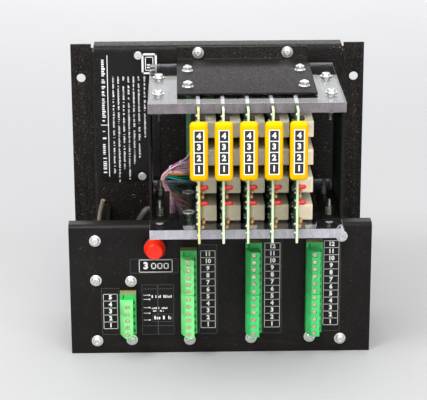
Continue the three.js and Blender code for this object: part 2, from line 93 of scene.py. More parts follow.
class Finish:
    """A node material with one Principled shader.

    Texture scales are per metre, in object coordinates; bump depths are in millimetres.
    """

    def __init__(self, name, color, roughness, **constants):
        self.material = bpy.data.materials.new(name)
        self.material.use_nodes = True
        self.tree = self.material.node_tree
        self.shader = next(n for n in self.tree.nodes if n.type == "BSDF_PRINCIPLED")
        self.feed(self.shader, {"Base Color": (*color, 1), "Roughness": roughness})
        self.feed(self.shader, {key.replace("_", " "): value for key, value in constants.items()})
        self.place = self.node("TexCoord").outputs["Object"]

    def feed(self, node, values):
        """Sets a node's inputs, or links them to another node's output."""
        for key, value in values.items():
            if isinstance(value, bpy.types.NodeSocket):
                self.tree.links.new(value, node.inputs[key])
            else:
                node.inputs[key].default_value = value

    def node(self, kind, values=None, **settings):
        made = self.tree.nodes.new("ShaderNode" + kind)
        for key, value in settings.items():
            setattr(made, key, value)
        self.feed(made, values or {})
        return made

    def noise(self, scale, detail=3, roughness=0.55, stretch=None):
        place = self.place
        if stretch:
            place = self.node("Mapping", {"Vector": place, "Scale": stretch}).outputs[0]
        values = {"Scale": scale, "Detail": detail, "Roughness": roughness, "Vector": place}
        return self.node("TexNoise", values).outputs[0]

    def specks(self, scale, size, share):
        """Scattered dots, one in a share of the cells; size is the dot's radius in cells."""
        cells = self.node("TexVoronoi", {"Scale": scale, "Vector": self.place}).outputs
        chance = self.node("SeparateColor", {0: cells["Color"]}).outputs[0]
        dots = self.spread(cells["Distance"], 1, 0, size * 0.5, size)
        kept = self.spread(chance, 0, 1, 1 - share, 1 - share * 0.5)
        return self.node("Math", {0: dots, 1: kept}, operation="MULTIPLY").outputs[0]

    def spread(self, value, low, high, start=0.0, end=1.0):
        values = {"Value": value, "From Min": start, "From Max": end, "To Min": low, "To Max": high}
        return self.node("MapRange", values).outputs[0]

    def tint(self, factor, dark, light):
        dark, light = [(*color, 1) if isinstance(color, tuple) else color for color in (dark, light)]
        return self.node("Mix", {0: factor, 6: dark, 7: light}, data_type="RGBA").outputs[2]

    def blend(self, value, dark, light, start=0.3, end=0.7):
        """A colour between dark and light, following the part of value between start and end."""
        return self.tint(self.spread(value, 0, 1, start, end), dark, light)

    def paint(self, color):
        self.feed(self.shader, {"Base Color": color})

    def gloss(self, value, low, high, start=0.3, end=0.7):
        self.feed(self.shader, {"Roughness": self.spread(value, low, high, start, end)})

    def bump(self, height, depth, strength=0.6):
        made = self.node("Bump", {"Distance": depth * MM, "Strength": strength, "Height": height})
        self.feed(self.shader, {"Normal": made.outputs[0]})


def shade(color, factor):
    return tuple(min(1.0, channel * factor) for channel in color)


def powder_coat():
    """Coarse black powder coat: a salt-and-pepper grain with a few brighter warm specks."""
    finish = Finish("textured_black", (0.006, 0.0055, 0.005), 0.5, Specular_IOR_Level=0.15)
    grain = finish.noise(1450, 2, 0.5)
    finish.bump(grain, 0.2, 0.7)
    patch = finish.blend(finish.noise(25, 4), (0.002, 0.0017, 0.0016), (0.0045, 0.0038, 0.0036), 0.35)
    salted = finish.blend(grain, patch, (0.032, 0.026, 0.024), 0.54, 0.6)
    finish.paint(finish.tint(finish.specks(900, 0.35, 0.06), salted, (0.2, 0.17, 0.14)))
    finish.gloss(finish.noise(500, 2), 0.34, 0.56)
    return finish.material


def satin_coat():
    """Satin black paint with a fine orange-peel and a scatter of dust."""
    finish = Finish("satin_black", (0.008, 0.007, 0.0066), 0.42, Specular_IOR_Level=0.17)
    finish.bump(finish.noise(1300, 3), 0.04, 0.4)
    film = finish.noise(40, 6, 0.7)
    base = finish.blend(film, (0.0065, 0.0056, 0.0053), (0.0105, 0.0092, 0.0086), 0.45, 0.75)
    dust = finish.tint(finish.specks(620, 0.14, 0.3), base, (0.15, 0.135, 0.12))
    finish.paint(finish.tint(finish.specks(1300, 0.3, 0.05), dust, (0.12, 0.11, 0.1)))
    finish.gloss(film, 0.36, 0.5)
    return finish.material


def moulded(name, color, roughness, mottle=0.12, texture=900, **constants):
    """Injection-moulded plastic: faint flow marks in colour and a fine spark-eroded skin."""
    finish = Finish(name, color, roughness, **constants)
    finish.paint(finish.blend(finish.noise(90, 4), shade(color, 1 - mottle), shade(color, 1 + mottle)))
    skin = finish.noise(texture, 2)
    finish.gloss(skin, roughness * 0.85, roughness * 1.2)
    finish.bump(skin, 0.03, 0.4)
    return finish.material


def plated(name, color, roughness, stretch=None, metallic=1.0):
    """Plated metal with fine handling marks."""
    finish = Finish(name, color, roughness, Metallic=metallic)
    marks = finish.noise(700, 4, 0.6, stretch)
    finish.gloss(marks, roughness * 0.7, roughness * 1.5)
    finish.paint(finish.blend(marks, shade(color, 0.85), shade(color, 1.08)))
    finish.bump(marks, 0.02, 0.4)
    return finish.material


def clear_plastic():
    """Clear acrylic sheet with the faint haze of handling."""
    finish = Finish("clear_acrylic", (0.93, 0.94, 0.97), 0.03, IOR=1.49, Transmission_Weight=1.0)
    finish.gloss(finish.noise(60, 5, 0.65), 0.015, 0.09, 0.45, 0.75)
    return finish.material


def sawn_edge(name, dark, light):
    """A sawn edge of the acrylic: frosted, lilac-grey, with saw marks along it."""
    finish = Finish(name, light, 0.5, IOR=1.49, Transmission_Weight=0.12)
    saw = finish.noise(260, 5, 0.7, (1, 1, 0.35))
    blotch = finish.spread(finish.noise(900, 4, 0.7), 0, 0.6, 0.5, 0.75)
    finish.paint(finish.tint(blotch, finish.blend(saw, dark, light), shade(dark, 0.5)))
    finish.gloss(saw, 0.35, 0.65)
    finish.bump(saw, 0.15, 0.6)
    return finish.material


def milled_groove():
    """The milled walls of the card grooves: white frosting."""
    finish = Finish("milled_acrylic", (0.86, 0.86, 0.87), 0.6, IOR=1.49, Transmission_Weight=0.12)
    cutter = finish.noise(600, 3, 0.6, (1, 0.2, 1))
    finish.gloss(cutter, 0.45, 0.7)
    finish.bump(cutter, 0.1, 0.5)
    return finish.material


def solder_mask():
    """Green mask over copper: broad tracks show through as a lighter green."""
    finish = Finish("board_green", (0.03, 0.2, 0.075), 0.32, Coat_Weight=0.3, Coat_Roughness=0.15)
    turned = finish.node("Mapping", {"Vector": finish.place, "Rotation": (0, math.pi / 2, 0)}).outputs[0]
    tracks = finish.node("TexBrick", {
        "Scale": 100, "Mortar Size": 0.07, "Brick Width": 1.7, "Row Height": 0.31, "Vector": turned,
    }).outputs["Fac"]
    base = finish.blend(finish.noise(1500, 2), (0.022, 0.16, 0.06), (0.035, 0.23, 0.085))
    finish.paint(finish.tint(finish.spread(tracks, 0, 0.75), base, (0.07, 0.36, 0.14)))
    finish.bump(tracks, 0.04, 0.6)
    return finish.material


def board_edge(name, dark, light):
    """The routed edge of a glass-epoxy board: pale and fibrous."""
    finish = Finish(name, light, 0.6)
    fibres = finish.noise(1600, 3, 0.6, (1, 0.3, 0.3))
    finish.paint(finish.blend(fibres, dark, light))
    finish.bump(fibres, 0.05, 0.5)
    return finish.material


def printed(name, color, roughness=0.5):
    """Screen ink or printed film, slightly uneven in cover."""
    finish = Finish(name, color, roughness)
    finish.paint(finish.blend(finish.noise(1400, 3), shade(color, 0.86), shade(color, 1.06), 0.25, 0.75))
    return finish.material


def label_film():
    """Black film under clear tape, with the faint waves of a hand-laid label."""
    finish = Finish("label_black", (0.006, 0.0055, 0.0055), 0.24, Specular_IOR_Level=0.22)
    waves = finish.noise(55, 3)
    finish.bump(waves, 0.12, 0.4)
    finish.gloss(waves, 0.2, 0.32)
    return finish.material


def lens_red():
    finish = Finish("lamp_red", (0.9, 0.012, 0.01), 0.22, IOR=1.5, Coat_Weight=0.15)
    finish.paint(finish.blend(finish.noise(400, 2), (0.75, 0.006, 0.005), (0.95, 0.02, 0.012)))
    return finish.material


def tube_glass():
    finish = Finish("fuse_glass", (0.95, 0.98, 0.98), 0.02, IOR=1.5, Transmission_Weight=1.0)
    finish.gloss(finish.noise(300, 3), 0.01, 0.06, 0.4)
    return finish.material


TEXTURED = powder_coat()
SATIN = satin_coat()
CLEAR = clear_plastic()
# One frosted acrylic edge at three brightnesses: the upper plate's edges darker as painted shade, the rear
# edges lighter as painted light, the lower plate's edges in between.
SAWN_UPPER_SHADED = sawn_edge("sawn_upper_painted_shade", (0.12, 0.105, 0.12), (0.23, 0.208, 0.23))
SAWN_LOWER = sawn_edge("sawn_lower", (0.34, 0.33, 0.375), (0.53, 0.52, 0.575))
SAWN_REAR_LIT = sawn_edge("sawn_rear_painted_light", (0.5, 0.52, 0.58), (0.74, 0.76, 0.82))
MILLED = milled_groove()
MASK = solder_mask()
EDGE = board_edge("board_edge", (0.42, 0.6, 0.33), (0.74, 0.82, 0.6))
EDGE_AGED = board_edge("board_edge_aged", (0.45, 0.46, 0.14), (0.72, 0.7, 0.32))
FILM = label_film()
LENS = lens_red()
GLASS = tube_glass()
YELLOW = moulded("handle_yellow", (0.86, 0.43, 0.0), 0.36, 0.03, Specular_IOR_Level=0.05)
CREAM = moulded("relay_cream", (0.86, 0.75, 0.57), 0.42, 0.08)
CREAM_BASE = moulded("relay_base", (0.58, 0.51, 0.37), 0.5, 0.1)
PLUG_GREEN = moulded("plug_green", (0.2, 0.74, 0.23), 0.36, 0.08)
PLUG_DEEP = moulded("plug_green_deep", (0.06, 0.58, 0.16), 0.36, 0.08)
HEADER_GREEN = moulded("header_green", (0.035, 0.42, 0.1), 0.42, 0.1)
# The headers' top faces are painted a dull brownish tone as shade.
HEADER_TOP_SHADED = moulded("header_top_painted_shade", (0.3, 0.27, 0.11), 0.45, 0.12)
RED = moulded("fuse_red", (1.0, 0.025, 0.006), 0.32, 0.04, Specular_IOR_Level=0.35)
BLACK = moulded("black_plastic", (0.014, 0.014, 0.015), 0.36, 0.2)
SLEEVE = moulded("sleeve_black", (0.055, 0.053, 0.055), 0.5, 0.2, 300)
SLEEVE_BROWN = moulded("sleeve_brown", (0.24, 0.2, 0.15), 0.5, 0.25, 300)
TAN = moulded("resistor_tan", (0.72, 0.36, 0.12), 0.45, 0.1)
BLUE = moulded("capacitor_blue", (0.03, 0.09, 0.3), 0.35, 0.1)
WHITE_INK = printed("label_white", (0.88, 0.88, 0.88))
SOFT_INK = printed("label_silver", (0.62, 0.61, 0.6))
TAPE_EDGE = printed("tape_edge", (0.075, 0.072, 0.07), 0.35)
BLACK_INK = printed("label_ink", (0.01, 0.009, 0.009), 0.4)
GREY_INK = printed("mark_grey", (0.2, 0.18, 0.14))
DULL_STEEL = plated("eyelet_steel", (0.1, 0.095, 0.085), 0.45)
# The bolt ends' plating is made darker than the screws' to paint in the shade around them.
BOLT_ZINC_SHADED = plated("bolt_zinc_painted_shade", (0.3, 0.31, 0.27), 0.36)
STEEL = plated("plated_steel", (0.8, 0.81, 0.8), 0.3, metallic=0.82)
NICKEL = plated("terminal_nickel", (0.78, 0.7, 0.52), 0.3)
BRASS = plated("contact_gold", (0.83, 0.6, 0.24), 0.25, (1, 6, 1))
SOLDER = plated("solder_tin", (0.8, 0.78, 0.72), 0.32)
NYLON = moulded("tie_white", (0.82, 0.82, 0.8), 0.45, 0.04)


# ---- Shapes ----

def rounded_box(size, radius, segments=2, centre=(0, 0, 0)):
    bm = bmesh.new()
    place = Matrix.Scale(MM, 4) @ Matrix.Translation(centre) @ Matrix.Diagonal((*size, 1))
    bmesh.ops.create_cube(bm, size=1, matrix=place)
    bmesh.ops.bevel(bm, geom=bm.edges[:], offset=radius * MM, segments=segments, profile=0.5, affect="EDGES")
    return bm


def span_box(low, high, radius, segments=2):
    """A rounded box between two corners."""
    low, high = Vector(low), Vector(high)
    return rounded_box(high - low, radius, segments, (low + high) / 2)


def skin(bm, rings):
    """Faces between rings of vertices; a ring of one repeated vertex closes to a point."""
    for low, high in zip(rings, rings[1:]):
        for i in range(len(low)):
            j = (i + 1) % len(low)
            corners = list(dict.fromkeys((low[i], low[j], high[j], high[i])))
            if len(corners) > 2:
                bm.faces.new(corners)


def closed(rings):
    """A closed shape over rings of points, with a flat cap on each end."""
    bm = bmesh.new()
    rings = [[bm.verts.new(Vector(point) * MM) for point in ring] for ring in rings]
    skin(bm, rings)
    bm.faces.new(rings[0])
    bm.faces.new(rings[-1])
    bmesh.ops.recalc_face_normals(bm, faces=bm.faces)
    return bm


def prism(outline, z0, z1, radius):
    """An upright prism on an (x, y) outline, with its edges rounded."""
    bm = closed([[(x, y, z) for x, y in outline] for z in (z0, z1)])
    bmesh.ops.bevel(bm, geom=bm.edges[:], offset=radius * MM, segments=2, profile=0.5, affect="EDGES")
    return bm


POLE_RADIUS = 1e-4


def lathe(profile, steps=28, swell=None):
    """A turned shape about Z. Profile points are (radius, height); swell(angle, height) scales the radius."""
    bm = bmesh.new()
    rings = []
    for radius, height in profile:
        if radius < POLE_RADIUS:
            rings.append([bm.verts.new((0, 0, height * MM))] * steps)
            continue
        ring = []
        for i in range(steps):
            angle = 2 * math.pi * i / steps
            r = radius * (swell(angle, height) if swell else 1)
            ring.append(bm.verts.new(Vector((r * math.cos(angle), r * math.sin(angle), height)) * MM))
        rings.append(ring)
    skin(bm, rings)
    bmesh.ops.recalc_face_normals(bm, faces=bm.faces)
    return bm


def as_mesh(bm):
    mesh = bpy.data.meshes.new("shape")
    bm.to_mesh(mesh)
    bm.free()
    return mesh


def gathered(placed):
    """One shape out of (mesh, matrix) pairs."""
    whole = bmesh.new()
    for mesh, matrix in placed:
        copy = mesh.copy()
        copy.transform(matrix)
        whole.from_mesh(copy)
        bpy.data.meshes.remove(copy)
    return whole


def repeated(bm, places):
    """One shape repeated at several places."""
    mesh = as_mesh(bm)
    return gathered([(mesh, place) for place in places])


def moved(x, y, z):
    return Matrix.Translation(Vector((x, y, z)) * MM)


def shifted(bm, matrix):
    bm.transform(matrix)
    return bm


def joined(*shapes):
    return gathered([(as_mesh(shape), Matrix()) for shape in shapes])


def carved(bm, *cutters):
    """A closed shape with closed cutters taken away."""
    body = bpy.data.objects.new("body", as_mesh(bm))
    scene.collection.objects.link(body)
    tools = []
    for cutter in cutters:
        tool = bpy.data.objects.new("tool", as_mesh(cutter))
        scene.collection.objects.link(tool)
        modifier = body.modifiers.new("cut", "BOOLEAN")
        modifier.operation = "DIFFERENCE"
        modifier.solver = "EXACT"
        modifier.object = tool
        tools.append(tool)
    depsgraph = bpy.context.evaluated_depsgraph_get()
    result = bmesh.new()
    result.from_object(body, depsgraph)
    for spent in (body, *tools):
        bpy.data.objects.remove(spent)
    return result


def finished(bm, finish, smooth=38):
    """A smoothed mesh in one finish, ready for copy_of."""
    mesh = as_mesh(bm)
    mesh.polygons.foreach_set("use_smooth", [True] * len(mesh.polygons))
    mesh.set_sharp_from_angle(angle=math.radians(smooth))
    mesh.materials.append(finish)
    return mesh


def copy_of(mesh, name, matrix=Matrix(), body="frame", replaces=()):
    """An object on a mesh, riding on a body; repeated pieces such as screws share one mesh."""
    made = bpy.data.objects.new(name, mesh)
    scene.collection.objects.link(made)
    made.matrix_world = matrix
    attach(made, body)
    if replaces:
        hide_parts(*replaces)
    return made


def piece(name, bm, finish, body="frame", replaces=()):
    """An object from a shape of its own."""
    mesh = finished(bm, finish)
    mesh.name = name
    return copy_of(mesh, name, Matrix(), body, replaces)


SHARP_EDGE = math.radians(50)


def refined(node, bevel, segments=2):
    """A CAD node's shape with its triangles merged into faces and its sharp edges rounded."""
    bm = bmesh.new()
    bm.from_mesh(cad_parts[node].data)
    bmesh.ops.remove_doubles(bm, verts=bm.verts, dist=2e-6)
    bmesh.ops.dissolve_limit(bm, angle_limit=math.radians(0.6), verts=bm.verts, edges=bm.edges)
    edges = [e for e in bm.edges if len(e.link_faces) == 2 and e.calc_face_angle(0) > SHARP_EDGE]
    bmesh.ops.bevel(
        bm, geom=edges, offset=bevel * MM, offset_type="OFFSET", segments=segments, profile=0.5,
        affect="EDGES", clamp_overlap=True,
    )
    return bm


def clad(name, node, finishes, choose, bevel, segments=2, body="frame"):
    """An object from a CAD node, flat-shaded, with a finish chosen for each face."""
    mesh = as_mesh(refined(node, bevel, segments))
    mesh.name = name
    for finish in finishes:
        mesh.materials.append(finish)
    for face in mesh.polygons:
        face.material_index = int(choose(face))
    copy_of(mesh, name, Matrix(), body, [node])


def facing(direction, spin=0.0):
    """Turns +Z to a direction, after a spin about it."""
    turn = Vector((0, 0, 1)).rotation_difference(Vector(direction)).to_matrix().to_4x4()
    return turn @ Matrix.Rotation(spin, 4, "Z")


FRONT = (0, -1, 0)
BACK = (0, 1, 0)
RIGHT = (1, 0, 0)
LEFT = (-1, 0, 0)
UP = (0, 0, 1)
DOWN = (0, 0, -1)


# ---- Flat print on a front-facing plane ----

def print_patch(x0, x1, z0, z1, y, thickness=0.05, radius=None):
    """A thin printed patch whose back lies at depth y and whose face is towards -Y."""
    edge = radius or min(x1 - x0, z1 - z0) * 0.12
    corners = []
    arc = 3
    for cx, cz, start in ((x1 - edge, z0 + edge, -90), (x1 - edge, z1 - edge, 0),
                          (x0 + edge, z1 - edge, 90), (x0 + edge, z0 + edge, 180)):
        for step in range(arc + 1):
            angle = math.radians(start + 90 * step / arc)
            corners.append((cx + edge * math.cos(angle), cz + edge * math.sin(angle)))
    return closed([[(x, depth, z) for x, z in corners] for depth in (y, y - thickness)])


def frame_patch(x0, x1, z0, z1, y, line):
    """A rectangular border of printed lines."""
    return joined(
        print_patch(x0, x1, z0, z0 + line, y), print_patch(x0, x1, z1 - line, z1, y),
        print_patch(x0, x0 + line, z0, z1, y), print_patch(x1 - line, x1, z0, z1, y),
    )


def numeral(text, x, z, y, size, bold):
    """A plain numeral standing on a front-facing plane, centred on (x, z)."""
    curve = bpy.data.curves.new("numeral", "FONT")
    curve.body = text
    curve.size = size * MM
    curve.extrude = 0.02 * MM
    curve.offset = size * MM * bold
    curve.resolution_u = 3
    curve.align_x = "CENTER"
    curve.align_y = "CENTER"
    temporary = bpy.data.objects.new("numeral", curve)
    scene.collection.objects.link(temporary)
    depsgraph = bpy.context.evaluated_depsgraph_get()
    mesh = bpy.data.meshes.new_from_object(temporary.evaluated_get(depsgraph))
    bpy.data.objects.remove(temporary)
    mesh.transform(moved(x, y, z) @ Matrix.Rotation(math.pi / 2, 4, "X"))
    bm = bmesh.new()
    bm.from_mesh(mesh)
    bpy.data.meshes.remove(mesh)
    return bm


def tick_line(start, length, height, y, vertical=False, density=0.75):
    """Generic ticks in place of a line of small print: strokes that form no letters."""
    ticks = []
    along = 0.0
    x, z = start
    while along < length:
        width = rng.uniform(0.35, 0.95) * height * 0.55
        if rng.random() < density:
            tall = height * rng.choice((0.7, 1.0))
            if vertical:
                ticks.append(print_patch(x, x + tall, z - along - width, z - along, y))
            else:
                ticks.append(print_patch(x + along, x + along + width, z, z + tall, y))
        along += width + height * 0.22
    return ticks


# ---- Fasteners ----

def pan_head(radius, height, base=0.0):
    """A pan head with a cross recess, standing on z = base."""
    profile = [
        (0, base - 0.3), (radius * 0.96, base - 0.3), (radius, base + height * 0.1),
        (radius, base + height * 0.4), (radius * 0.93, base + height * 0.68),
        (radius * 0.76, base + height * 0.88), (radius * 0.5, base + height * 0.98), (0, base + height),
    ]
    arm, width, deep = radius * 1.2, radius * 0.32, height * 0.85
    middle = (0, 0, base + height - deep / 2 + 0.2)
    slots = [rounded_box((x, y, deep), 0.05, 1, middle) for x, y in ((arm, width), (width, arm))]
    return carved(lathe(profile), *slots)


def slotted_head(radius, height):
    profile = [
        (0, -1.2), (radius, -1.2), (radius, height * 0.6), (radius * 0.86, height * 0.92), (0, height),
    ]
    slot = rounded_box((radius * 2.6, radius * 0.32, height * 2.4), 0.03, 1, (0, 0, height))
    return carved(lathe(profile, 20), slot)


def washer(inner, outer, thick):
    edge = thick * 0.25
    return lathe([
        (inner, 0), (outer - edge, 0), (outer, edge), (outer, thick - edge), (outer - edge, thick),
        (inner, thick), (inner, 0),
    ], 32)


def hex_nut(across, height, hole):
    """A hexagon nut with chamfered corners, standing on z = 0."""
    corner = across / math.sqrt(3)

    def hexagon(angle, level):
        sector = (angle + math.pi / 6) % (math.pi / 3) - math.pi / 6
        flat = math.cos(math.pi / 6) / math.cos(sector)
        return flat if 0.12 * height < level < 0.88 * height else min(flat, 0.9)

    profile = [
        (hole, 0), (corner, 0), (corner, 0.15 * height), (corner, 0.85 * height), (corner, height),
        (hole, height), (hole, 0),
    ]
    return lathe(profile, 48, hexagon)


def thread(radius, length):
    """A threaded end as a stack of rounded ridges."""
    pitch = 0.5
    profile = [(0, 0)]
    for i in range(int(length / pitch)):
        profile += [(radius * 0.86, i * pitch), (radius, (i + 0.5) * pitch)]
    profile += [(radius * 0.8, length), (0, length + 0.1)]
    return lathe(profile, 18)


SMALL_HEAD = finished(pan_head(2.8, 2.1), STEEL)
WASHERED_HEAD = finished(joined(washer(1.6, 3.9, 0.6), pan_head(2.9, 2.2, 0.6)), STEEL)
# Bolt ends: washer, two nuts and thread, in the plating painted darker as shade.
BOLT_END = finished(joined(
    washer(1.4, 2.9, 0.6), shifted(hex_nut(4.8, 2.4, 1.2), moved(0, 0, 0.6)),
    shifted(hex_nut(4.8, 1.8, 1.2), moved(0, 0, 3.2)), thread(1.3, 10),
), BOLT_ZINC_SHADED)
RING_TIP = finished(washer(2.6, 4.3, 0.7), STEEL)
NUTTED_TIP = finished(joined(
    washer(1.6, 3.7, 0.6), shifted(hex_nut(5.5, 2.4, 1.4), moved(0, 0, 0.6)), thread(1.45, 4),
), STEEL)
FLAT_DISC = finished(lathe([(0, -0.3), (2.8, -0.3), (2.8, 0.5), (2.6, 0.7), (0, 0.75)], 32), STEEL)


def fasten(mesh, name, x, y, z, direction):
    matrix = moved(x, y, z) @ facing(direction, rng.uniform(0, math.pi))
    return copy_of(mesh, name, matrix)


# ---- Sheet metal ----

def sheet_metal():
    for node in ("chassis", "upper_bracket", "lower_bracket"):
        piece(f"{node}_shell", refined(node, 0.22), TEXTURED, replaces=[node])
    for node in (
        "left_side_bracket", "right_side_bracket", "front_panel", "left_panel_support", "right_panel_support",
    ):
        piece(f"{node}_shell", refined(node, 0.2), SATIN, replaces=[node])


def panel_fasteners():
    front = box("front_panel")[0].y
    places = [(-83.9, 81.2), (-83.9, 53.0), (-83.9, 9.2), (81.3, 83.0), (81.3, 9.2)]
    for x, top, bottom in ((-60.3, 52.2, 9.8), (-21.0, 86.5, 9.5), (20.7, 86.5, 10.4), (60.5, 86.5, 10.8)):
        places += [(x, top), (x, bottom)]
    for i, (x, z) in enumerate(places, 1):
        fasten(WASHERED_HEAD, f"panel_screw_{i}", x, front, z, FRONT)


def rack_fasteners():
    sheet = 1.6
    for name, direction in (("upper_bracket", UP), ("lower_bracket", DOWN)):
        low, high = box(name)
        upper = direction is UP
        leg_z = high.z - 4 if upper else low.z + 4
        face = low.z + sheet if upper else high.z - sheet
        head = NUTTED_TIP if upper else SMALL_HEAD
        for i, x in enumerate((low.x + 7, high.x - 7.4), 1):
            for j, y in enumerate((low.y + 17, low.y + 59.5), 1):
                fasten(head, f"{name}_plate_screw_{i}{j}", x, y, face, direction)
                if not upper:
                    fasten(RING_TIP, f"lower_plate_tip_{i}{j}", x, y, box("lower_guide_plate")[1].z, UP)
        for i, x in enumerate((low.x + 14.5, high.x - 14), 1):
            copy_of(WASHERED_HEAD, f"{name}_pan_screw_{i}", moved(x, high.y - sheet, leg_z) @ facing(FRONT))
    top = box("upper_guide_plate")[1].z
    bottom = box("lower_guide_plate")[0].z
    inner = box("left_side_bracket")[0].z + 1.5
    for side, offset in (("left", 0), ("right", -1.2)):
        low, high = box(f"{side}_side_bracket")
        x = (low.x + high.x) / 2 + offset
        for j, y in enumerate((low.y + 11.5, high.y - 8.5), 1):
            for kind, mesh, z, direction in (
                ("corner_screw", WASHERED_HEAD, top, UP), ("corner_bolt", BOLT_END, inner, UP),
                ("lower_screw", WASHERED_HEAD, bottom, DOWN), ("upper_nut", BOLT_END, high.z - 1.5, DOWN),
            ):
                fasten(mesh, f"{side}_{kind}_{j}", x, y, z, direction)


def pan_eyelet():
    ring = lathe([(0.7, 0), (1.4, 0), (1.5, 0.3), (1.3, 0.5), (0.9, 0.55), (0.7, 0.4), (0.7, 0)])
    place = moved(-59, box("chassis")[0].y, 92.3) @ facing(FRONT)
    copy_of(finished(ring, DULL_STEEL), "pan_eyelet", place)


# ---- Nameplate ----

def nameplate():
    piece("nameplate_film", refined("nameplate", 0.08, 1), FILM, replaces=["nameplate"])
    low, high = box("nameplate")
    y = low.y - 0.01
    marks = [
        print_patch(low.x + 6, low.x + 6.5, low.z + 3, high.z - 3, y),
        print_patch(low.x + 1.2, low.x + 6, low.z + 40, low.z + 40.5, y),
    ]
    for column, (offset, height, length) in enumerate((
        (2.2, 2.4, 44), (9.5, 1.2, 70), (13.0, 1.2, 76), (16.5, 1.2, 66), (20.0, 1.2, 74), (23.5, 1.2, 62),
        (27.0, 1.2, 58), (31.0, 1.2, 44), (35.0, 1.2, 50),
    )):
        start = high.z - (6 if column < 1 else 18)
        marks += tick_line((low.x + offset, start), length, height, y, vertical=True)
    marks += tick_line((low.x + 2.2, low.z + 36), 30, 2.4, y, vertical=True, density=0.6)
    x0, x1, z0, z1 = high.x - 12.2, high.x - 1.8, high.z - 16.3, high.z - 1.8
    marks.append(frame_patch(x0, x1, z0, z1, y, 1.3))
    marks.append(frame_patch(x0 + 2.4, x1 - 2.4, z0 + 2.4, z1 - 2.4, y, 0.5))
    for lift in (4.2, 6.0):
        marks.append(print_patch(x0 + 3.6, x1 - 3.6, z0 + lift, z0 + lift + 0.9, y))
    piece("nameplate_print", joined(*marks), WHITE_INK)
    for i, (inset, z) in enumerate(((14.5, high.z - 3.2), (13.0, low.z + 3.0)), 1):
        fasten(FLAT_DISC, f"nameplate_screw_{i}", high.x - inset, low.y, z, FRONT)


# ---- Guide plates ----

def guide_plate(node):
    low, high = box(node)
    margin = 0.5

    def choose(face):
        centre = face.center / MM
        outer = min(centre.x - low.x, high.x - centre.x, centre.y - low.y, high.y - centre.y) < margin
        if abs(face.normal.z) < 0.6:
            return 3 if high.y - centre.y < margin else 1 if outer else 2
        return 2 if low.z + margin < centre.z < high.z - margin else 0

    # The upper plate's sawn edges are painted darker as shade; slot 3, the rear faces of both plates, takes
    # the edge painted lighter as light.
    sawn = SAWN_UPPER_SHADED if node.startswith("upper") else SAWN_LOWER
    clad(f"{node}_sheet", node, (CLEAR, sawn, MILLED, SAWN_REAR_LIT), choose, 0.18)


# ---- Cards ----

def card_board(i):
    node = f"card_{i}_board"
    finishes = (MASK, EDGE_AGED if i == 1 else EDGE)
    clad(
        f"{node}_laminate", node, finishes, lambda face: abs(face.normal.x) <= 0.6, 0.08, 1,
        f"card_{i}")


def gold_fingers(i):
    low, high = box(f"card_{i}_board")
    first, pitch, count = 114.5, 3.96, 15
    finger = span_box((-0.06, -8.5, -1.1), (0.06, 0, 1.1), 0.03, 1)
    places = [moved(x, high.y - 0.5, first + k * pitch) for x in (low.x, high.x) for k in range(count)]
    piece(f"card_{i}_contacts", repeated(finger, places), BRASS, f"card_{i}")


def solder_side(i):
    """Solder domes over the clipped leads on the board's -X face."""
    low = box(f"card_{i}_board")[0]
    spots = []
    for row in RELAY_ROWS:
        relay_low, relay_high = box(f"card_{i}_relay_{row}")
        for fraction in (0.08, 0.3, 0.78, 0.95):
            y = relay_low.y + fraction * (relay_high.y - relay_low.y)
            spots += [(y, relay_low.z + 1.5), (y, relay_high.z - 1.5)]
    for lift in (5.5, 11.5, 22.5, 27.0, 31.5, 35.5, 41.0, 83.5):
        y = BOARD_FRONT + rng.uniform(2.5, 5.5)
        spots.append((y, low.z + lift + rng.uniform(-0.8, 0.8)))
    dome = lathe([(1.05, 0), (0.95, 0.35), (0.6, 0.85), (0.3, 1.15), (0, 1.25)], 10)
    domes = repeated(dome, [moved(low.x, y, z) @ facing(LEFT) for y, z in spots])
    piece(f"card_{i}_solder", domes, SOLDER, f"card_{i}")


def relay_shapes():
    """A sealed relay lying on its side, with its front towards -Y: case, base and moulded marks."""
    low, high = box("card_1_relay_1")
    sx, sy, sz = high - low
    step = 1.3
    case = span_box((step, 0, 0), (sx, sy, sz), 0.55, 3)
    pocket = span_box((sx * 0.3, -1, sz * 0.24), (sx * 0.82, 0.25, sz * 0.76), 0.1, 1)
    rib = span_box((step + 0.9, -1, -1), (step + 1.15, sy + 1, 0.12), 0.02, 1)
    base = span_box((0, 0.3, 0.3), (step + 0.2, sy - 0.3, sz - 0.3), 0.2)
    marks = []
    for k in range(4):
        length = rng.uniform(0.5, 0.8) * sy * 0.6
        z = sz * (0.22 + 0.17 * k)
        marks.append(span_box((sx - 0.01, sy * 0.2, z), (sx + 0.03, sy * 0.2 + length, z + 0.7), 0.01, 1))
    return carved(case, pocket, rib), base, joined(*marks)


def relays():
    finishes = (CREAM, CREAM_BASE, GREY_INK)
    case, base, marks = [finished(bm, finish) for bm, finish in zip(relay_shapes(), finishes)]
    for i in CARDS:
        for row in RELAY_ROWS:
            node = f"card_{i}_relay_{row}"
            place = moved(*box(node)[0])
            copy_of(case, f"{node}_case", place, f"card_{i}", [node])
            copy_of(base, f"{node}_base", place, f"card_{i}")
            copy_of(marks, f"{node}_marks", place, f"card_{i}")


def lamps():
    """Red 3 mm lamps lying with their domes towards +X, ahead of the relays."""
    r = 1.5
    profile = [(0, 0), (r * 1.27, 0), (r * 1.27, 0.9), (r, 1.05), (r, 3.6)]
    for step in range(1, 7):
        angle = math.pi / 2 * step / 6
        profile.append((r * math.cos(angle), 3.6 + r * 1.1 * math.sin(angle)))
    lamp = finished(lathe(profile, 24), LENS)
    for i in CARDS:
        x = box(f"card_{i}_board")[1].x + 0.2
        for k in range(4):
            place = moved(x, BOARD_FRONT + 8.8, 123.8 + 10.4 * k) @ facing(RIGHT)
            copy_of(lamp, f"card_{i}_lamp_{k + 1}", place, f"card_{i}")


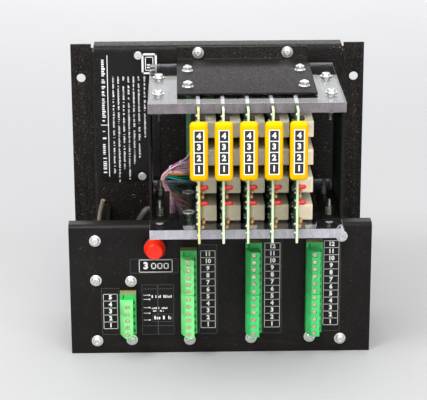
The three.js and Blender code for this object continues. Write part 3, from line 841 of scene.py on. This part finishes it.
def small_parts(i):
    """Resistors, a transistor and a capacitor between the lamps and the relays."""
    high = box(f"card_{i}_board")[1]
    body = f"card_{i}"
    barrel = lathe([
        (0, -3.1), (0.9, -3), (1.15, -2.6), (1.15, -1.8), (0.95, -1.4),
        (0.95, 1.4), (1.15, 1.8), (1.15, 2.6), (0.9, 3), (0, 3.1),
    ], 14)
    lead = lathe([(0, -5.2), (0.3, -5.2), (0.3, 5.2), (0, 5.2)], 8)
    places = [
        moved(high.x + 1.5 + 0.7 * k, BOARD_FRONT + 12.6 + 1.2 * k, base + 3.1 * k) @ facing(FRONT)
        for base in (107.4, 127.6, 141.0, 160.5) for k in range(2)
    ]
    piece(f"{body}_resistors", repeated(barrel, places), TAN, body)
    piece(f"{body}_leads", repeated(lead, places), SOLDER, body)
    can = lathe([(0, 0), (3.1, 0), (3.2, 0.8), (2.9, 1.2), (3.2, 1.7), (3.2, 9.2), (2.9, 9.6), (0, 9.6)], 24)
    place = moved(high.x, high.y - 20, 157) @ facing(RIGHT)
    copy_of(finished(can, BLUE), f"{body}_capacitor", place, body)
    base = high.z - 10.5
    chip = span_box((high.x, BOARD_FRONT + 3, base), (high.x + 3.4, BOARD_FRONT + 7.5, base + 5), 0.3)
    piece(f"{body}_transistor", chip, BLACK, body)


STRIP_SIDE = 2.35
STRIP_END = 4.35


def handle_grip():
    """The rounded handle with a recess for its numbered strip; its rear pocket holds the board's tab."""
    low, high = box("card_1_handle")
    size = high - low
    side, end = STRIP_SIDE - 0.1, STRIP_END - 0.1
    recess = span_box((side, -1, end), (size.x - side, 0.25, size.z - end), 0.2)
    middle, half = size.x / 2, 1.1
    pocket = span_box((middle - half, size.y - 3.6, 4.1), (middle + half, size.y + 1, size.z - 3.9), 0.05, 1)
    return finished(carved(rounded_box(size, 2.5, 5, size / 2), recess, pocket), YELLOW, 50)


def handles():
    low, high = box("card_1_handle")
    x0, x1 = STRIP_SIDE, high.x - low.x - STRIP_SIDE
    z0, z1 = STRIP_END, high.z - low.z - STRIP_END
    y = 0.22
    line = 0.6
    cell = (z1 - z0 - line) / 4
    squares, digits = [], []
    for k in range(4):
        bottom = z0 + line + k * cell
        top = bottom + cell - line
        squares.append(print_patch(x0 + line, x1 - line, bottom, top, y - 0.12, 0.03, 0.25))
        digits.append(numeral(str(k + 1), (x0 + x1) / 2, (bottom + top) / 2, y - 0.17, 5, 0.045))
    grip = handle_grip()
    prints = (
        ("strip", finished(print_patch(x0, x1, z0, z1, y, 0.12, 0.4), WHITE_INK)),
        ("squares", finished(joined(*squares), BLACK_INK)),
        ("numerals", finished(joined(*digits), WHITE_INK)),
    )
    for i in CARDS:
        node = f"card_{i}_handle"
        place = moved(*box(node)[0])
        copy_of(grip, f"{node}_grip", place, f"card_{i}", [node])
        for part, mesh in prints:
            copy_of(mesh, f"{node}_{part}", place, f"card_{i}")


# ---- Backplane ----

def backplane():
    clad("backplane_laminate", "backplane_board", (MASK,), lambda face: 0, 0.06, 1)
    y = box("backplane_board")[1].y - 6.1
    for i in CARDS:
        node = f"edge_connector_{i}"
        low, high = box(node)
        piece(f"{node}_shell", refined(node, 0.25), BLACK, replaces=[node])
        pin = lathe([(0, 0), (0.4, 0), (0.4, 1.6), (0, 1.9)], 8)
        places = [
            moved(x, y, low.z + 6 + 4 * k) @ facing(BACK) for k in range(15) for x in (low.x + 2, high.x - 2)
        ]
        piece(f"{node}_tails", repeated(pin, places), SOLDER)


# ---- Terminals ----

POLE = 5.08
FIRST_POLE = 19.3
POLES = (5, 11, 12, 12)
# Each plug is made of segments of two or three poles; a bracketed group is one moulding.
PLUG_SEGMENTS = (((3, 2),), ((3, 3), (3, 2)), ((3, 3), (3, 3)), ((3, 3), (3, 3)))
HEAD_DEPTH = 8.3
RAMP_START = 7.4
FACE_LEFT = 3.25
SCREW_FROM_LEFT = 5.15
PIN_FROM_LEFT = 5.35


def plug_segment(low, high, z0, z1, screw_x):
    """A few poles of a plug's head, with a ramp on the left, screw wells and wire funnels."""
    back = low.y + HEAD_DEPTH
    outline = [
        (low.x, back), (high.x, back), (high.x, low.y),
        (low.x + FACE_LEFT, low.y), (low.x, low.y + RAMP_START),
    ]
    well = lathe([(0, -2.4), (1.6, -2.4), (1.62, -0.2), (1.85, 1), (0, 1)], 24)
    cutters = (
        shifted(well, moved(screw_x, low.y, 0) @ facing(FRONT)),
        span_box((high.x - 3.2, low.y + 3.3, -1.6), (high.x + 1, low.y + 6.1, 1.6), 0.25, 1),
        span_box((high.x - 0.4, low.y + 2.9, -1.95), (high.x + 1, low.y + 6.5, 1.95), 0.15, 1),
    )
    poles = round((z1 - z0) / POLE)
    centres = [moved(0, 0, (z0 + z1) / 2 + (k - (poles - 1) / 2) * POLE) for k in range(poles)]
    return carved(prism(outline, z0, z1, 0.22), *(repeated(cutter, centres) for cutter in cutters))


def terminal(i):
    node = f"terminal_plug_{i}"
    body = f"plug_{i}"
    low, high = box(node)
    screw_x = low.x + SCREW_FROM_LEFT
    levels = [FIRST_POLE + k * POLE for k in range(POLES[i - 1])]
    segments = []
    start = FIRST_POLE - POLE / 2
    for group in PLUG_SEGMENTS[i - 1]:
        for k, count in enumerate(group):
            end = start + count * POLE
            bottom = max(start + (0.22 if k == 0 else 0.05), low.z)
            top = min(end - (0.22 if k == len(group) - 1 else 0.05), high.z)
            segments.append(plug_segment(low, high, bottom, top, screw_x))
            start = end
    back = low.y + HEAD_DEPTH
    neck = span_box((low.x + 1.3, back - 0.6, low.z + 1), (high.x - 0.25, high.y, high.z - 0.7), 0.25)
    socket = span_box((-0.8, -5.1, -0.8), (0.8, 1, 0.8), 0.05, 1)
    sockets = repeated(socket, [moved(low.x + PIN_FROM_LEFT, high.y, z) for z in levels])
    core = span_box((low.x + 3, low.y + 6.6, low.z + 1), (high.x - 0.6, back, high.z - 1), 0.1, 1)
    housing = joined(*segments, carved(neck, sockets), core)
    piece(f"{node}_housing", housing, PLUG_GREEN if i < 3 else PLUG_DEEP, body, [node])
    screws = [moved(screw_x, low.y + 1, z) @ facing(FRONT, rng.uniform(-0.9, 0.9)) for z in levels]
    piece(f"{node}_screws", repeated(slotted_head(1.5, 0.7), screws), NICKEL, body)
    opening = span_box((-0.4, -0.9, -1.1), (3, 0.9, 1.1), 0.1, 1)
    cage = carved(span_box((-1.5, -1.3, -1.5), (1.2, 1.3, 1.5), 0.15, 1), opening)
    cages = repeated(cage, [moved(high.x - 1.7, low.y + 4.7, z) for z in levels])
    piece(f"{node}_clamps", cages, NICKEL, body)
    terminal_header(i, levels)


def terminal_header(i, levels):
    node = f"terminal_header_{i}"
    low, high = box(node)
    # Faces on top of the header take the brownish tone painted in as shade; the rest is the green moulding.
    top = (high.z - 0.5) * MM
    clad(
        f"{node}_shroud", node, (HEADER_GREEN, HEADER_TOP_SHADED),
        lambda face: face.normal.z > 0.9 and face.center.z > top, 0.15)
    x = (low.x + high.x) / 2
    tail = span_box((-0.5, 0, -0.5), (0.5, 3.5, 0.5), 0.12, 1)
    pin = span_box((-0.5, -7, -0.5), (0.5, 0, 0.5), 0.12, 1)
    tails = repeated(tail, [moved(x, high.y, z) for z in levels])
    pins = repeated(pin, [moved(x, high.y - 8.2, z) for z in levels])
    piece(f"{node}_pins", joined(tails, pins), SOLDER)


# ---- Panel labels ----

def taped(name, x0, x1, z0, z1, y):
    """Black film under a strip of clear tape whose cut edges catch a little light."""
    piece(f"{name}_film", print_patch(x0, x1, z0, z1, y, 0.1, 0.4), FILM)
    piece(f"{name}_tape_edge", frame_patch(x0, x1, z0, z1, y - 0.1, 0.22), TAPE_EDGE)


def cell_strip(name, x0, x1, bottom, count, y):
    """A taped strip of numbered cells with white rules, level with the terminal's poles."""
    top = bottom + count * POLE
    side, end, highest = 1.1, 4.2, 89
    taped(name, x0 - side, x1 + side, bottom - end, min(top + end, highest), y)
    face = y - 0.1
    line = 0.36
    rules = [frame_patch(x0, x1, bottom, top, face, line)]
    figures = []
    for k in range(count):
        z = bottom + k * POLE
        if k:
            rules.append(print_patch(x0, x1, z - line / 2, z + line / 2, face))
        figures.append(numeral(str(k + 1), (x0 + x1) / 2, z + POLE / 2, face - 0.02, 4.1, 0.05))
    piece(f"{name}_rules", joined(*rules), SOFT_INK)
    piece(f"{name}_numerals", joined(*figures), WHITE_INK)


def panel_labels():
    y = box("front_panel")[0].y
    bottom = FIRST_POLE - POLE / 2
    strips = ((-79.4, -69.6, 1.0), (-13.5, -3.4, 1.0), (29.6, 40.2, 1.0), (69.4, 79.8, 2.2))
    for i, (x0, x1, lift) in enumerate(strips, 1):
        cell_strip(f"strip_label_{i}", x0, x1, bottom + lift, POLES[i - 1], y)
    fuse_label(y)
    circuit_label(y)


def fuse_label(y):
    x0, x1, z0, z1 = -54.8, -32.2, 58.4, 67.6
    taped("fuse_label", x0 - 6, x1 + 3.8, z0 - 0.6, z1 + 0.6, y)
    face = y - 0.1
    piece("fuse_label_border", frame_patch(x0, x1, z0, z1, face, 0.5), SOFT_INK)
    middle = (z0 + z1) / 2
    marks = [numeral("3", x0 + 4.6, middle, face - 0.02, 6.6, 0.045)]
    for k in range(3):
        left = x0 + 8.2 + 4.2 * k
        marks.append(frame_patch(left, left + 3.4, middle - 2.1, middle + 2.1, face, 0.7))
    piece("fuse_label_print", joined(*marks), WHITE_INK)


def circuit_label(y):
    """The label beside the short terminal: small arrows and generic ticks, on two strips of tape."""
    x0, x1, z0, z1 = -53.2, -31.6, 13.4, 49.6
    middle = (x0 + x1) / 2
    taped("circuit_label_left", x0, middle, z0, z1, y)
    taped("circuit_label_right", middle, x1, z0, z1, y)
    face = y - 0.1
    marks = []
    for level in (42, 39, 33, 29, 24):
        marks.append(print_patch(x0 + 1, x0 + 5, level - 0.15, level + 0.15, face))
        marks.append(print_patch(x0 + 4.4, x0 + 5.7, level - 0.5, level + 0.5, face, radius=0.45))
    for offset, start, length, height in (
        (6.6, 40.0, 13.5, 2.0), (6.6, 32.0, 10.0, 1.2), (6.6, 30.0, 8.0, 1.2), (8.2, 24.4, 11.0, 2.5),
    ):
        marks += tick_line((x0 + offset, start), length, height, face)
    piece("circuit_label_print", joined(*marks), WHITE_INK)
    rules = [print_patch(x0 + 0.8, x1 - 0.8, z, z + 0.3, face) for z in (46.4, 19.6)]
    border = frame_patch(x0 + 7, x1 - 0.9, 22.6, 28.4, face, 0.25)
    piece("circuit_label_rules", joined(border, *rules), TAPE_EDGE)


# ---- Fuse ----

def fuse():
    low, high = box("fuse_cap")
    x, z = (low.x + high.x) / 2, (low.z + high.z) / 2
    place = moved(x, WALL, z) @ facing(FRONT)
    back, front, stem = 80.8, WALL - low.y, WALL - high.y
    knob = lathe([
        (0, stem), (3.1, stem), (3.3, stem + 0.3), (3.3, back), (6.8, back), (7.1, back + 0.3),
        (7.1, back + 1), (6.7, back + 1.5), (6.35, back + 2.6), (5.9, front - 2.4), (5.6, front - 1),
        (5.25, front - 0.3), (4.7, front), (4.5, front - 0.12), (0, front - 0.12),
    ], 72)
    piece("fuse_cap_knob", shifted(knob, place), RED, "fuse_knob", ["fuse_cap"])
    holder = refined("fuse_holder", 0.15)
    piece("fuse_holder_body", holder, BLACK, replaces=["fuse_holder"])
    nut = shifted(hex_nut(16, 2.6, 6.2), moved(x, WALL - 73.6, z) @ facing(FRONT))
    piece("fuse_holder_nut", nut, BLACK)
    fuse_link(place)


def fuse_link(place):
    low, high = box("fuse_cartridge")
    back, front = WALL - high.y, WALL - low.y
    ferrule, r = 6, 3.18
    glass = lathe([(2.3, back + 2), (2.9, back + 2), (2.9, front - 2), (2.3, front - 2), (2.3, back + 2)], 32)
    piece("fuse_cartridge_tube", shifted(glass, place), GLASS, "fuse_link", ["fuse_cartridge"])
    ends = [
        lathe([
            (0, start), (r - 0.3, start), (r, start + 0.3), (r, crimp - 0.4), (r - 0.12, crimp),
            (r, crimp + 0.4), (r, start + ferrule - 0.3), (r - 0.3, start + ferrule), (0, start + ferrule),
        ], 32) for start, crimp in ((back, back + 4.8), (front - ferrule, front - ferrule + 1.2))
    ]
    ends.append(lathe([(0, back + 1), (0.12, back + 1), (0.12, front - 1), (0, front - 1)], 8))
    piece("fuse_cartridge_caps", shifted(joined(*ends), place), STEEL, "fuse_link")


# ---- Wiring ----

# Points are (x, depth in front of the wall, z) in millimetres, as in the CAD solids.
HARNESS_ROUTE = [
    (-38, 60, 18), (-34, 54, 42), (-31, 42, 66), (-33, 26, 86), (-37, 18.6, 97), (-38, 18.6, 106),
    (-33, 23, 112), (-26.5, 30, 117.5), (-22, 33, 122.5), (-22, 33.5, 134),
]
SLEEVE_ROUTE = [
    (-58.5, 52, 74), (-57, 58, 82), (-54.9, 60, 88.4), (-50, 60, 96.4), (-47, 57, 96.4), (-44.5, 48, 95.4),
    (-43.6, 36, 94.6), (-43.6, 25, 94.2),
]
SIDE_SLEEVE_ROUTE = [(-84.2, 19, 66), (-83.6, 21, 76), (-82, 24, 86), (-80.2, 26, 93)]


def smooth_path(points, per_span=8):
    """A Catmull-Rom line through the points."""
    path = []
    ends = [points[0]] + list(points) + [points[-1]]
    for a, b, c, d in zip(ends, ends[1:], ends[2:], ends[3:]):
        for step in range(per_span):
            t = step / per_span
            bend = (2 * a - 5 * b + 4 * c - d) * t * t + (3 * b - a - 3 * c + d) * t ** 3
            path.append(0.5 * (2 * b + (c - a) * t + bend))
    path.append(Vector(points[-1]))
    return path


def route(points):
    return smooth_path([Vector((x, WALL - depth, z)) for x, depth, z in points])


def heading(path, k):
    return (path[min(k + 1, len(path) - 1)] - path[max(k - 1, 0)]).normalized()


def beside(path, radius, phase, twist):
    """The path moved off its line by radius, winding slowly about it."""
    shifted_path = []
    for k, point in enumerate(path):
        ahead = heading(path, k)
        side = ahead.cross(Vector((0.3, 1, 0.2))).normalized()
        over = ahead.cross(side).normalized()
        angle = phase + twist * k / len(path)
        shifted_path.append(point + side * radius * math.cos(angle) + over * radius * math.sin(angle))
    return shifted_path


def tube(path, radius, sides=8):
    """A closed round tube along a path."""
    angles = [2 * math.pi * i / sides for i in range(sides)]
    side = heading(path, 0).orthogonal()
    rings = []
    for k, point in enumerate(path):
        ahead = heading(path, k)
        side = (side - ahead * side.dot(ahead)).normalized()
        over = ahead.cross(side)
        rings.append([point + (side * math.cos(angle) + over * math.sin(angle)) * radius for angle in angles])
    return closed(rings)


WIRE_COLORS = {
    "white": (0.85, 0.85, 0.83), "pink": (0.9, 0.16, 0.36), "orange": (0.9, 0.22, 0.06),
    "teal": (0.0, 0.33, 0.3), "yellow": (0.8, 0.62, 0.02), "rose": (0.95, 0.4, 0.56),
    "green": (0.01, 0.25, 0.1), "violet": (0.5, 0.07, 0.4),
}
LEFT_BUNCH = ("orange", "white", "pink", "rose", "white", "pink", "rose", "white", "pink", "violet", "white")
RIGHT_BUNCH = ("teal", "green", "yellow", "teal", "white")


def bunch(colors, spine, shift, ring, low_height, high_height, high_step):
    """Paths by colour for one bunch: from the terminal tails, along the harness, to the backplane."""
    connector = box("edge_connector_1")[0]
    header = box("terminal_header_2")
    paths = []
    for k, color in enumerate(colors):
        middle = beside(spine, ring, 2 * math.pi * k / len(colors), 2.0)
        for n, point in enumerate(middle):
            open_air = max(0.0, min(1.0, (n / len(middle) - 0.55) / 0.2))
            middle[n] = point + (shift + (point - spine[n]) * 0.15) * open_air
        low_end = Vector((header[0].x + 1, header[1].y + 1, low_height + 4.4 * k))
        high_end = Vector((connector.x - 0.9, connector.y + 1.5 + k % 3 * 3, high_height + high_step * k))
        high_bend = high_end + Vector((-2.2, -1.2, -3))
        shared = [point for point in middle[2:-3] if point.z < high_bend.z - 1.5]
        start = smooth_path([low_end, low_end + Vector((-3, 5, -1)), shared[0]], 6)[:-1]
        tail = smooth_path([shared[-1], high_bend, high_end], 6)[1:]
        paths.append((color, start + shared + tail))
    return paths


def harness():
    """Thin wires in tied bunches, fanned out to the terminal tails below and the connectors above."""
    spine = route(HARNESS_ROUTE)
    left_shift = Vector((-1.6, -1.5, 1.5))
    runs = bunch(LEFT_BUNCH, spine, left_shift, 1.5, 20, 117, 1.15)
    runs += bunch(RIGHT_BUNCH, spine, Vector((4.2, -3.0, -3.2)), 0.9, 62, 112.5, 1.4)
    for color, rgb in WIRE_COLORS.items():
        strands = joined(*(tube(path, 0.62) for used, path in runs if used == color))
        finish = moulded(f"wire_{color}", rgb, 0.4, 0.06)
        replaced = ["wiring_harness"] if color == "white" else ()
        piece(f"harness_wire_{color}", strands, finish, replaces=replaced)
    ties = []
    for fraction, shift in ((0.12, 0), (0.35, 0), (0.5, 0), (0.72, 1), (0.84, 1)):
        k = int(fraction * (len(spine) - 1))
        tie = joined(washer(2.2, 2.5, 1.1), span_box((2.0, -0.7, -0.1), (3.0, 0.7, 1.6), 0.15))
        ties.append(shifted(tie, moved(*(spine[k] + left_shift * shift)) @ facing(heading(spine, k))))
    piece("harness_ties", joined(*ties), NYLON)


def sleeved_wires():
    """A shrunk black sleeve beside the fuse, whose pink wires go on under the lower guide plate."""
    spine = route(SLEEVE_ROUTE)
    sleeve = tube(spine[:len(spine) // 2], 2.15, 16)
    piece("wire_sleeve_tube", sleeve, SLEEVE, replaces=["wire_sleeve"])
    wires = [tube(beside(spine[4:], 1.0, 2 * math.pi * k / 3, 3.0), 0.7) for k in range(3)]
    pink = moulded("sleeved_pink", (0.88, 0.12, 0.3), 0.4, 0.06)
    piece("wire_sleeve_wires", joined(*wires), pink)
    piece("side_sleeve", tube(route(SIDE_SLEEVE_ROUTE), 1.5, 12), SLEEVE_BROWN)


# ---- Stage ----

def backdrop():
    """A pale sweep: floor, a wide curve and a wall behind the object."""
    bm = bmesh.new()
    half, near, far, radius, height = 5.0, -4.0, 5.0, 1.2, 4.0
    profile = [(near, 0.0)]
    for step in range(13):
        angle = math.pi / 2 * step / 12
        profile.append((far - radius + radius * math.sin(angle), radius - radius * math.cos(angle)))
    profile.append((far, height))
    rows = [[bm.verts.new((x, y, z)) for x in (-half, half)] for y, z in profile]
    for a, b in zip(rows, rows[1:]):
        bm.faces.new((a[0], a[1], b[1], b[0]))
    mesh = as_mesh(bm)
    mesh.polygons.foreach_set("use_smooth", [True] * len(mesh.polygons))
    paper = Finish("backdrop_paper", (0.395, 0.395, 0.4), 0.8)
    paper.paint(paper.tint(paper.noise(3, 2), (0.385, 0.385, 0.39), (0.405, 0.405, 0.41)))
    mesh.materials.append(paper.material)
    made = bpy.data.objects.new("backdrop", mesh)
    scene.collection.objects.link(made)


def soft_light(name, place, target, width, height, power, color=(1, 1, 1)):
    data = bpy.data.lights.new(name, "AREA")
    data.shape = "RECTANGLE"
    data.size = width
    data.size_y = height
    data.energy = power
    data.color = color
    lamp = bpy.data.objects.new(name, data)
    lamp.location = place
    lamp.rotation_euler = (Vector(target) - Vector(place)).to_track_quat("-Z", "Y").to_euler()
    scene.collection.objects.link(lamp)


def lights():
    target = (0, 0, 0.1)
    soft_light("key", (-1.1, -1.0, 1.5), target, 0.6, 0.6, 23)
    soft_light("fill", (1.3, -1.0, 0.9), target, 1.2, 1.2, 5)
    soft_light("top", (0, -0.25, 1.9), target, 1.8, 1.2, 27)
    soft_light("rear_wash", (0, 0.8, 0.75), (0, 1.0, 0), 2.4, 0.4, 4)
    soft_light("horizon_wash", (0, 1.6, 0.8), (0, 1.7, 0), 3.0, 0.8, 22)
    soft_light("front", (0.2, -1.5, 0.75), target, 0.9, 0.9, 9, (1, 0.96, 0.91))
    soft_light("apron", (0, -0.9, 1.2), (0, -0.75, 0), 1.6, 0.5, 14)
    soft_light("rear_card", (0, 2.6, 1.0), (0, 0, 0.19), 3.0, 1.2, 14)
    world = bpy.data.worlds.new("studio")
    world.use_nodes = True
    background = world.node_tree.nodes["Background"].inputs
    background["Color"].default_value = (0.95, 0.96, 1, 1)
    background["Strength"].default_value = 0.3
    scene.world = world


# ---- The whole model ----

make_camera()
backdrop()
lights()
sheet_metal()
panel_fasteners()
rack_fasteners()
pan_eyelet()
nameplate()
for plate in ("upper_guide_plate", "lower_guide_plate"):
    guide_plate(plate)
for card in CARDS:
    card_board(card)
    gold_fingers(card)
    solder_side(card)
    small_parts(card)
relays()
lamps()
handles()
backplane()
for terminal_number in TERMINALS:
    terminal(terminal_number)
panel_labels()
fuse()
harness()
sleeved_wires()
